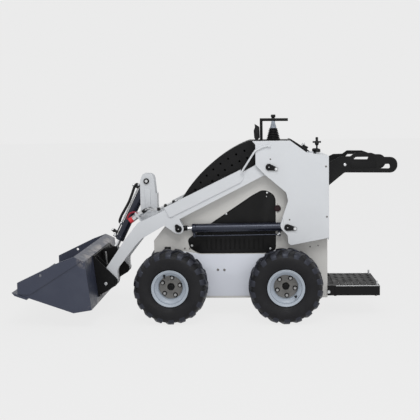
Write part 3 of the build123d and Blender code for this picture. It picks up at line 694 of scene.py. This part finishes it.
# rims: barrel, disc, nuts, hub cap and valve; lateral places run outwards from the wheel's middle
rimLook = {
    "steps": 96,
    "barrel": [(113.6, 85.6), (114.3, 86.8), (114.3, 88), (113.2, 88.8), (111.2, 89), (109.2, 88.4),
               (107.2, 86.8), (105.2, 85.6), (101, 85), (98.6, 83.8), (97.6, 81.8), (97.2, 64),
               (96.4, 61.6), (94.8, 60), (92.8, 59.2), (90, 58), (79, 47), (76.2, 44), (74.8, 41),
               (74.2, 37)],
    "disc": (96, [(74.2, 3), (74.2, 10.5), (72.8, 12), (70, 12.2), (68, 11.2), (66, 11.6), (38, 11.8),
                  (36, 13.4), (30, 13.6), (23, 13.6), (22, 12)]),
    "hub": (48, [(70, 3), (34, 3), (33, 2), (33, -27), (32, -28), (15.5, -28)]),
    "cap": (40, [(22.5, 11.8), (22.5, 15), (19.8, 16.2), (19.6, 30), (18.4, 33), (15, 34.4), (9.4, 34.8),
                 (8.8, 34), (8.4, 31.2), (0, 30.8)]),
    "seat": (24, [(15, 11.2), (14.8, 12.5), (0, 12.5)]),
    "studs": 5, "studCircle": 114.3, "nut": [(6, 9.8, 11, 0.9, 12.2), (16, 5.5, 14.5, 0.8, 12.2)],
    "valve": (20, [(8.5, -2), (8.5, 2), (5.8, 6), (4.6, 20), (5.2, 22), (5.2, 30), (4.2, 32), (0, 32)]),
    "valveRadius": 84, "valveFoot": 52.5, "valveLean": 0.35,
    # degrees from forward to up, seen from outside; each nut is twisted on from the last, in radians
    "nutTurn": {"front": 98, "rear": 48}, "valveTurn": {"front": 64, "rear": 224}, "nutTwist": 0.4,
}


# the direction from a wheel's middle, in degrees, before the wheel is turned outwards
def wheelRay(degrees, side):
    return Vector((math.cos(math.radians(degrees)), -math.sin(math.radians(degrees)) * side, 0))


def makeRim(node, look):
    middle = middleOf(node)
    side = math.copysign(1, middle.y)
    end = "front" if "front" in node else "rear"
    outward = Matrix.Translation(middle) @ Matrix.Rotation(-math.pi / 2 * side, 4, "X")
    body = bodyOf[node]
    form = turned((look["steps"], bothHalves(look["barrel"])), outward)
    piece(node + "Barrel", form, "wheel_paint", body, 50, insteadOf=node)
    form = turned(look["disc"], outward)
    lathe(form, look["hub"], outward)
    piece(node + "Disc", form, "dark_paint", body, 45)
    capForm = turned(look["cap"], outward)
    nutForm = bmesh.new()
    for k in range(look["studs"]):
        ray = wheelRay(look["nutTurn"][end] + 360 * k / look["studs"], side)
        place = outward @ Matrix.Translation(ray * look["studCircle"] / 2000)
        lathe(capForm, look["seat"], place)
        stack(nutForm, look["nut"], place @ Matrix.Rotation(look["nutTwist"] * k, 4, "Z"))
    piece(node + "Cap", capForm, "black_paint", body, 40)
    piece(node + "Nuts", nutForm, "zinc_steel", body, 30, "nut_steel")
    ray = wheelRay(look["valveTurn"][end], side)
    outwards = Vector((0, 0, 1))
    foot = (ray * look["valveRadius"] + outwards * look["valveFoot"]) / 1000
    place = outward @ standing(foot, outwards - ray * look["valveLean"])
    piece(node + "Valve", turned(look["valve"], place), "hose_rubber", body)


for node in list(nodes):
    if node.startswith("rim_"):
        makeRim(node, rimLook)
print("rims are made")


# pin heads with grease nipples, and the bolts that hold their flags
pinLook = {
    "head": (40, [(16.2, 0), (16.2, 3), (15, 4.2), (10.5, 4.2), (9.8, 3.4), (8.6, 3.4), (8, 4), (3, 4),
                  (0, 4)]),
    "nipple": (16, [(3.6, 0), (3.6, 3.4), (2.2, 4.6), (2.2, 6.2), (3, 7.2), (2.2, 8.6), (0, 9)]),
    "bolt": [(24, 9.5, 1.6, 0.4, 0), (6, 7.8, 7.4, 0.8, 0)],
    # direction of the flag in degrees from forward to up, and its bolt's distance from the pin, 0 for none
    "flags": {"tower_pin": (195, 46), "lift_base_pin": (189, 46), "lift_rod_pin": (58, 0)},
    "headRadius": 21, "nippleRise": 4,
}


def dressPins(look):
    heads, nipples = {}, {}
    for kind, (turn, reach) in look["flags"].items():
        for hand, side in (("left", 1), ("right", -1)):
            node = kind + "_" + hand
            low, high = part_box(node)
            ray = Vector((math.cos(math.radians(turn)), 0, math.sin(math.radians(turn))))
            inset = look["headRadius"] / 1000
            pinX = high.x - inset if ray.x < 0 else low.x + inset
            pinZ = high.z - inset if ray.z < 0 else low.z + inset
            centre = Vector((pinX, high.y if side > 0 else low.y, pinZ))
            outward = Vector((0, side, 0))
            headForm = heads.setdefault(bodyOf[node], bmesh.new())
            lathe(headForm, look["head"], standing(centre, outward))
            brightForm = nipples.setdefault(bodyOf[node], bmesh.new())
            lathe(brightForm, look["nipple"], standing(centre, outward) @ up(look["nippleRise"]))
            if reach:
                stack(brightForm, look["bolt"], standing(centre + ray * reach / 1000, outward))
    for body, form in heads.items():
        piece(body + "PinHeads", form, "black_paint", body, 30)
    for body, form in nipples.items():
        piece(body + "PinNipples", form, "zinc_steel", body, 30)


dressPins(pinLook)
print("pins are dressed")


# domed screws on both sides of the chassis: (x, z, lateral face, radius)
screwLook = {
    "steps": 24,
    # (radius, height) for a screw with a radius of 1
    "domed": [(1, 0), (1, 0.1), (0.88, 0.34), (0.6, 0.54), (0.46, 0.58), (0.42, 0.4), (0, 0.38)],
    "chassisBrightScrews": [
        (12, 659, 210, 7), (-247, 792, 210, 8), (-243, 767, 210, 4), (234, 459, 210, 8), (-265, 436, 210, 8),
        (-730, 963, 245, 11),
    ],
    "chassisPlainScrews": [
        (70, 303, 217, 8), (29, 302, 217, 8), (279, 441, 215, 6), (247, 441, 215, 6), (-515, 447, 215, 5),
        (-565, 453, 215, 5), (-268, 1005, 299, 5), (-384, 629, 299, 5), (-609, 956, 299, 6),
        (-614, 645, 299, 6), (-312, 719, 215, 3), (-312, 665, 215, 3),
    ],
}


def makeScrews(look):
    for name, slotName in (("chassisBrightScrews", "zinc_steel"), ("chassisPlainScrews", "dark_paint")):
        form = bmesh.new()
        for x, z, face, radius in look[name]:
            profile = [(radius * r, radius * h) for r, h in look["domed"]]
            for side in (1, -1):
                lathe(form, (look["steps"], profile), facing(x, z, face, side))
        piece(name, form, slotName, "chassis")


makeScrews(screwLook)
print("screws are placed")


# round cap in the side plate, the raised panel on the operator guard, and the hinge and ear bolts
sideLook = {
    "cap": (40, [(20.5, 0), (20.5, 5), (19, 6.6), (13, 7.4), (12.2, 6.6), (0, 6.6)]),
    "capPlace": (-312, 692, 215),
    "panelLow": (-922, 940), "panelHigh": {1: (-768, 982), -1: (-768, 968)},  # the far one is lower
    "panelFace": 245, "panelRise": 2, "panelEdge": 1.2,
    "bolt": [(24, 10.5, 1.8, 0.5, 0), (6, 8.5, 8, 0.9, 0)],
    "hingeBolt": (-630, 158, 227), "earBolt": (778, 232, 295),
}


def makeSideTrim(look):
    capForm, panelForm, hingeForm, earForm = (bmesh.new() for _ in range(4))
    for side in (1, -1):
        lathe(capForm, look["cap"], facing(*look["capPlace"], side))
        panel(panelForm, look["panelLow"], look["panelHigh"][side], look["panelFace"], look["panelRise"],
              side, look["panelEdge"])
        stack(hingeForm, look["bolt"], facing(*look["hingeBolt"], side))
        stack(earForm, look["bolt"], facing(*look["earBolt"], side))
    piece("sideCaps", capForm, "cap_red", "chassis", finish="cap_maroon")
    piece("guardPanels", panelForm, "black_paint", "chassis")
    piece("hingeBolts", hingeForm, "zinc_steel", "chassis", 30)
    piece("earBolts", earForm, "zinc_steel", "bucket_set", 30)


makeSideTrim(sideLook)
print("side trim is made")


# brighter lower plate on each side of the body, between and behind the wheels: a thin sheet in a lighter
# copy of the white paint, painted light where the arms' shade ends
lowerLook = {
    "inner": 213.5, "outer": 217, "edge": 1.2,
    "corners": [(462, 134), (462, 404), (414, 424), (300, 424), (262, 420), (172, 403), (-232, 403),
                (-290, 424), (-330, 430), (-400, 424), (-420, 410), (-420, 134)],
}


def makeLowerPlates(look):
    form = bmesh.new()
    for side in (1, -1):
        extruded(form, look["corners"], look["inner"] * side, look["outer"] * side, look["edge"])
    piece("lowerSidePlates", form, "white_paint", "chassis", 30, "lit_side_paint")


makeLowerPlates(lowerLook)
print("lower side plates are made")


# plate that closes the step's front edge against the body, and rubber strip on the console's slope
closerLook = {
    "corners": [(-684, 189.5), (-684, 192.5), (-640, 192.5), (-640, 140), (-643, 140), (-643, 189.5)],
    "half": 214, "edge": 0.6,
}
stripLook = {
    "corners": [(-392, 1112), (-392, 1121), (-400, 1125), (-510, 1053), (-513, 1043)],
    "half": 212, "edge": 0.8,
}


def makeStrip(name, slotName, look):
    form = bmesh.new()
    extruded(form, look["corners"], -look["half"], look["half"], look["edge"])
    piece(name, form, slotName, "chassis", 30)


# step: bright zinc strips along its side edges, pins on its rear corners, and rubber feet
stepLook = {
    "edge": [(-676, 196.4), (-812, 196.4), (-948, 196.4)],
    "edgeY": 226.4, "edgeRadius": 1.8, "edgeSides": 10,
    "pin": (24, [(0, 0), (8.6, 0), (8.6, 2.4), (6.4, 3), (6.4, 24.6), (5, 25.8), (0, 25.8)]),
    "pins": [(-935, 200, 197.2), (-935, -200, 197.2)],
    "foot": (24, [(0, 0), (8, 0), (9, 1.4), (9, 7), (0, 7)]),
    "feet": [(-672, 210, 130), (-928, 210, 130), (-672, -210, 130), (-928, -210, 130)],
}


def makeStepTrim(look):
    form = bmesh.new()
    for y in (look["edgeY"], -look["edgeY"]):
        tube(form, [spot(x, y, z) for x, z in look["edge"]], look["edgeRadius"], look["edgeSides"])
    piece("stepEdges", form, "zinc_steel", "chassis", 60)
    pinForm, footForm = bmesh.new(), bmesh.new()
    for place in look["pins"]:
        lathe(pinForm, look["pin"], Matrix.Translation(spot(*place)))
    for place in look["feet"]:
        lathe(footForm, look["foot"], Matrix.Translation(spot(*place)))
    piece("stepPins", pinForm, "zinc_steel", "chassis", 30)
    piece("stepFeet", footForm, "black_plastic", "chassis", 30)


makeStrip("stepCloser", "black_paint", closerLook)
makeStepTrim(stepLook)
print("step is dressed")


# the matrix over the middle of a node's foot
def overFoot(node):
    low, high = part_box(node)
    return Matrix.Translation(((low.x + high.x) / 2, (low.y + high.y) / 2, low.z))


# lever with its bellows; a rib's points are (outwards from its width, upwards from its foot)
leverLook = {
    "ribs": 7, "ribWide": 45, "ribNarrow": 29, "ribHeight": 10.8, "bellowsTop": 15,
    "rib": [(-5.2, 0.5), (-1, 3), (0, 4.8), (-1, 6.6)], "steps": 56,
    "neck": (32, [(15, 72), (21.5, 76), (19, 86), (15, 98), (12.2, 112), (11.8, 130)]),
    "knob": (32, [(11.6, 126), (12.5, 130), (10.5, 136), (10.5, 142), (14, 145), (15, 149), (15, 157),
                  (13, 161.8), (0, 162.5)]),
}


def makeLever(look):
    place = overFoot("joystick")
    profile = [(0, 0), (look["ribWide"], 0)]
    for k in range(look["ribs"]):
        wide = look["ribWide"] + (look["ribNarrow"] - look["ribWide"]) * k / (look["ribs"] - 1)
        profile += [(wide + out, k * look["ribHeight"] + high) for out, high in look["rib"]]
    profile.append((look["bellowsTop"], look["ribs"] * look["ribHeight"]))
    form = turned((look["steps"], profile), place)
    piece("leverBellows", form, "black_plastic", "chassis", 70, insteadOf="joystick")
    piece("leverNeck", turned(look["neck"], place), "wheel_paint", "chassis")
    piece("leverKnob", turned(look["knob"], place), "black_plastic", "chassis")


# filler caps on the shelf; the hydraulic one has a stem with a cross bar
capLook = {
    "rise": 24, "barHeight": 80,
    "neck": (32, [(14, -10), (14, 14), (17.5, 14.5), (17.5, 18), (14, 18.5)]),
    "grip": [(28, 22.8, 19, 1.6, 15)],
    "crown": (32, [(19, 34), (17, 36.6), (0, 36.8)]),
    "stem": (32, [(5.2, 36), (5.2, 56), (9, 60), (13, 66), (13, 74), (10, 86), (8, 90), (8.8, 103.5),
                  (8, 110), (0, 111.8)]),
    "bar": (20, [(6, 4), (5.6, 20), (6.6, 23.5), (5.8, 26.6), (0, 27)]),
}


def makeFillerCaps(look):
    for node, hasStem in (("hydraulic_cap", True), ("fuel_cap", False)):
        place = overFoot(node) @ up(look["rise"])
        piece(node + "Neck", turned(look["neck"], place), "zinc_steel", "chassis")
        form = turned(look["crown"], place)
        stack(form, look["grip"], place)
        if hasStem:
            lathe(form, look["stem"], place)
            for side in (1, -1):
                lathe(form, look["bar"], place @ up(look["barHeight"]) @ standing((0, 0, 0), (side, 0, 0)))
        piece(node + "Cap", form, "black_plastic", "chassis", 40, insteadOf=node)


# key switch on the console's slope; the key's corners are measured from the switch's foot
switchLook = {
    "place": (-483, 100, 1090), "slope": (-0.601, 0, 0.799),
    "barrel": (28, [(10.5, -12), (10.5, 3), (9, 4), (0, 4)]),
    "keyLow": (-9.5, -1.5, 4), "keyHigh": (-1.5, 1.5, 14), "keyEdge": 0.8,
}


def makeSwitch(look):
    foot = spot(*look["place"])
    form = turned(look["barrel"], standing(foot, look["slope"]))
    block(form, foot + offset(*look["keyLow"]), foot + offset(*look["keyHigh"]), look["keyEdge"])
    piece("keySwitch", form, "zinc_steel", "chassis")


makeLever(leverLook)
makeFillerCaps(capLook)
makeSwitch(switchLook)
makeStrip("slopeStrip", "black_plastic", stripLook)
print("controls are made")


# tilt bracket: raised ribs and pin heads; the pin stands proud of the bracket's walls
bracketLook = {
    "ribLow": (512, 655), "ribHigh": (550, 812), "rise": 3.5, "ribEdge": 3, "pinProud": 6,
    "pinHead": (36, [(10, 0), (10, 3.2), (9, 4), (0, 4.2)]),
    "pinRing": (36, [(10.4, 0), (10.4, 3), (11.2, 3.6), (17.8, 3.6), (18.6, 2.6), (18.6, -5.5),
                     (16.2, -5.5)]),
}


def makeBracketTrim(look):
    low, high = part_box("tilt_base_pin")
    wall = high.y * 1000 - look["pinProud"]
    ribs, heads, rings = bmesh.new(), bmesh.new(), bmesh.new()
    for side in (1, -1):
        panel(ribs, look["ribLow"], look["ribHigh"], wall, look["rise"], side, look["ribEdge"])
        face = high.y if side > 0 else low.y
        place = standing(((low.x + high.x) / 2, face, (low.z + high.z) / 2), (0, side, 0))
        lathe(heads, look["pinHead"], place)
        lathe(rings, look["pinRing"], place)
    piece("bracketRibs", ribs, "white_paint", "arms")
    piece("bracketPinHeads", heads, "zinc_steel", "arms")
    piece("bracketPinRings", rings, "black_paint", "arms")


makeBracketTrim(bracketLook)
print("tilt bracket is dressed")


# oil lines on the tilt cylinder: places are in mm along it from its base pin, and away from its axis
tiltLineLook = {
    "hose": [(50, 46), (53, 54), (74, 59), (120, 54), (180, 50), (240, 53), (282, 56), (312, 54), (326, 50),
             (330, 44)],
    "hoseRadius": 9, "pipe": [(66, 34.5), (200, 34.5), (326, 34.5)], "pipeRadius": 4.8,
    "pipeSides": 12, "ports": [(50, 34), (330, 34), (422, 34)],
    "portNut": [(6, 10.5, 11, 1, 0), (6, 8.8, 6, 1, 11.5)],
    "elbows": [(66, 30), (396, 30)], "elbowTips": [(66, 64), (396, 64)],
    "elbow": (20, [(0, 0), (9.6, 0), (9.6, 20), (8, 22), (8, 34.5), (0, 35)]),
    "elbowNut": [(6, 12.8, 12, 1, 23)],
    "elbowTip": (20, [(0, 0), (6.4, 0), (6.4, 4), (9.2, 5), (9.2, 10), (6, 13), (0, 13.6)]),
}


def makeTiltLines(look):
    base, rodPin = middleOf("tilt_base_pin"), middleOf("tilt_rod_pin")
    along = (rodPin - base).normalized()
    away = Vector((-along.z, 0, along.x))

    def at(distance, height):
        return base + (along * distance + away * height) / 1000

    form = bmesh.new()
    tube(form, curved([at(*place) for place in look["hose"]]), look["hoseRadius"])
    piece("tiltHose", form, "hose_rubber", "tilt_barrel", 60, insteadOf="tilt_hose")
    form = bmesh.new()
    for place in look["ports"]:
        stack(form, look["portNut"], standing(at(*place), away))
    for place in look["elbowTips"]:
        lathe(form, look["elbowTip"], standing(at(*place), away))
    piece("tiltFittings", form, "zinc_steel", "tilt_barrel", 30)
    form = bmesh.new()
    tube(form, [at(*place) for place in look["pipe"]], look["pipeRadius"], look["pipeSides"])
    piece("tiltPipe", form, "zinc_steel", "tilt_barrel", 60)
    form = bmesh.new()
    for place in look["elbows"]:
        lathe(form, look["elbow"], standing(at(*place), away))
        stack(form, look["elbowNut"], standing(at(*place), away))
    piece("tiltElbows", form, "black_plastic", "tilt_barrel", 30)


# oil pipes on the left arm, their clamps, and the strap of the coupler's cap: (x, lateral, z)
armLineLook = {
    "pipes": [
        [(316, 258, 756), (352, 258, 739), (398, 257, 718), (440, 254, 700), (476, 240, 690),
         (500, 196, 694), (526, 160, 688), (548, 150, 673)],
        [(316, 242, 756), (352, 242, 739), (398, 241, 718), (438, 236, 701), (470, 212, 696),
         (494, 158, 702), (522, 112, 691), (548, 105, 673)],
    ],
    "pipeRadius": 5.5,
    "strap": [(652, 150, 624), (650, 150, 642), (637, 150, 661), (615, 150, 670), (597, 150, 667),
              (583, 150, 655)],
    "strapRadius": 5.6, "turns": 5,
    # nuts where the pipes meet the couplers, and the pipes' direction there
    "nuts": [(551, 150, 671), (551, 105, 671)], "fall": (0.829, 0, -0.559),
    "nut": [(6, 12.5, 15, 1.2, -15), (24, 9.5, 12, 1, -27)],
    # (x, z) of each clamp, and its corners and its bolt from there
    "clamps": [(340, 744), (392, 720), (436, 700)],
    "clampLow": (-9, 231, -10), "clampHigh": (9, 268, 9), "clampEdge": 1.8,
    "bolt": [(6, 5.5, 5, 0.6, 0)], "boltPlace": (0, 250, 9),
}


def makeArmLines(look):
    form = bmesh.new()
    for pipe in look["pipes"]:
        tube(form, curved([spot(*point) for point in pipe], look["turns"]), look["pipeRadius"])
    piece("armPipes", form, "zinc_steel", "arms", 60, insteadOf="arm_pipes")
    form = bmesh.new()
    tube(form, curved([spot(*point) for point in look["strap"]], look["turns"]), look["strapRadius"])
    piece("capStrap", form, "cap_red", "arms", 60, "strap_red")
    clampForm, boltForm = bmesh.new(), bmesh.new()
    for place in look["nuts"]:
        stack(clampForm, look["nut"], standing(spot(*place), look["fall"]))
    for x, z in look["clamps"]:
        low, high, bolt = (spot(x, 0, z) + offset(*look[place])
                           for place in ("clampLow", "clampHigh", "boltPlace"))
        block(clampForm, low, high, look["clampEdge"])
        stack(boltForm, look["bolt"], standing(bolt, (0, 0, 1)))
    piece("pipeClamps", clampForm, "black_plastic", "arms")
    piece("clampBolts", boltForm, "zinc_steel", "arms", 30)


makeTiltLines(tiltLineLook)
makeArmLines(armLineLook)
print("oil lines are made")


# hydraulic cylinders: end rings, the fittings at the lift cylinders' base ports, and the rods' necks
cylinderLook = {
    "lengths": {"lift_barrel_left": 599, "lift_barrel_right": 599, "tilt_barrel": 436},
    "gland": (40, [(28.8, -20), (28.8, -4), (27.6, -2.4), (16, -2), (15, 0)]),
    "ring": (40, [(27.6, -3), (29, 0), (27.6, 3)]),
    "firstRing": 34, "lastRing": 23.5,  # from the base pin, and from the gland's end
    "portAlong": 50, "portAway": 36, "port": [(6, 10.5, 10, 1, 0)],
    "hoseEndAway": 13, "hoseEnd": [(6, 9.2, 16, 1, -4)],
    # black neck of the rod's eye; the rod is bright between it and the gland
    "eyeRadius": 26,
    "neck": (32, [(13.8, 26), (16.2, 26), (16.2, 54), (14.8, 56.5), (13.8, 56.5)]),
}
joints = record["behaviour"]["joints"]
pivots = {joint["child"]: Vector(joint["pos_m"]) for joint in joints if "pos_m" in joint}
slides = {joint["parent"]: Vector(joint["axis"]) for joint in joints if joint["type"] == "slide"}


def makeCylinderTrim(look):
    for body, length in look["lengths"].items():
        along = slides[body]
        place = standing(pivots[body], along)
        form = turned(look["gland"], place @ up(length))
        for distance in (look["firstRing"], length - look["lastRing"]):
            lathe(form, look["ring"], place @ up(distance))
        piece(body + "Rings", form, "cylinder_paint", body)
        if body.startswith("lift"):
            away = Vector((along.z, 0, -along.x))
            foot = pivots[body] + (along * look["portAlong"] + away * look["portAway"]) / 1000
            form = bmesh.new()
            stack(form, look["port"], standing(foot, away))
            stack(form, look["hoseEnd"], standing(foot + away * look["hoseEndAway"] / 1000, along))
            piece(body + "Fitting", form, "zinc_steel", body, 30)


def makeRodNecks(look):
    for hand in ("left", "right"):
        low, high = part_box("lift_rod_" + hand)
        corner = Vector((high.x, (low.y + high.y) / 2, high.z))
        eye = corner - offset(look["eyeRadius"], 0, look["eyeRadius"])
        form = turned(look["neck"], standing(eye, -slides["lift_barrel_" + hand]))
        piece("rodNeck_" + hand, form, "black_paint", "lift_rod_" + hand, 30)


makeCylinderTrim(cylinderLook)
makeRodNecks(cylinderLook)
print("cylinders are dressed")


# black sheets behind the vent panels, so that light doesn't pass through the body
screenLook = {"gap": 1, "thickness": 3, "rear": 20, "front": 30, "foot": 20, "top": 160, "edge": 0.5}


def makeVentScreens(look):
    form = bmesh.new()
    for node in ("vent_panel_left", "vent_panel_right"):
        low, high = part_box(node)
        deep = look["gap"] + look["thickness"]
        inner = low.y - deep / 1000 if low.y > 0 else high.y + look["gap"] / 1000
        corner = Vector((low.x, inner, low.z)) + offset(look["rear"], 0, look["foot"])
        other = Vector((high.x, inner, low.z)) + offset(-look["front"], look["thickness"], look["top"])
        block(form, corner, other, look["edge"], 1)
    piece("ventScreens", form, "black_paint", "chassis")


makeVentScreens(screenLook)
print("vent screens are made")


print("all pieces are in place")
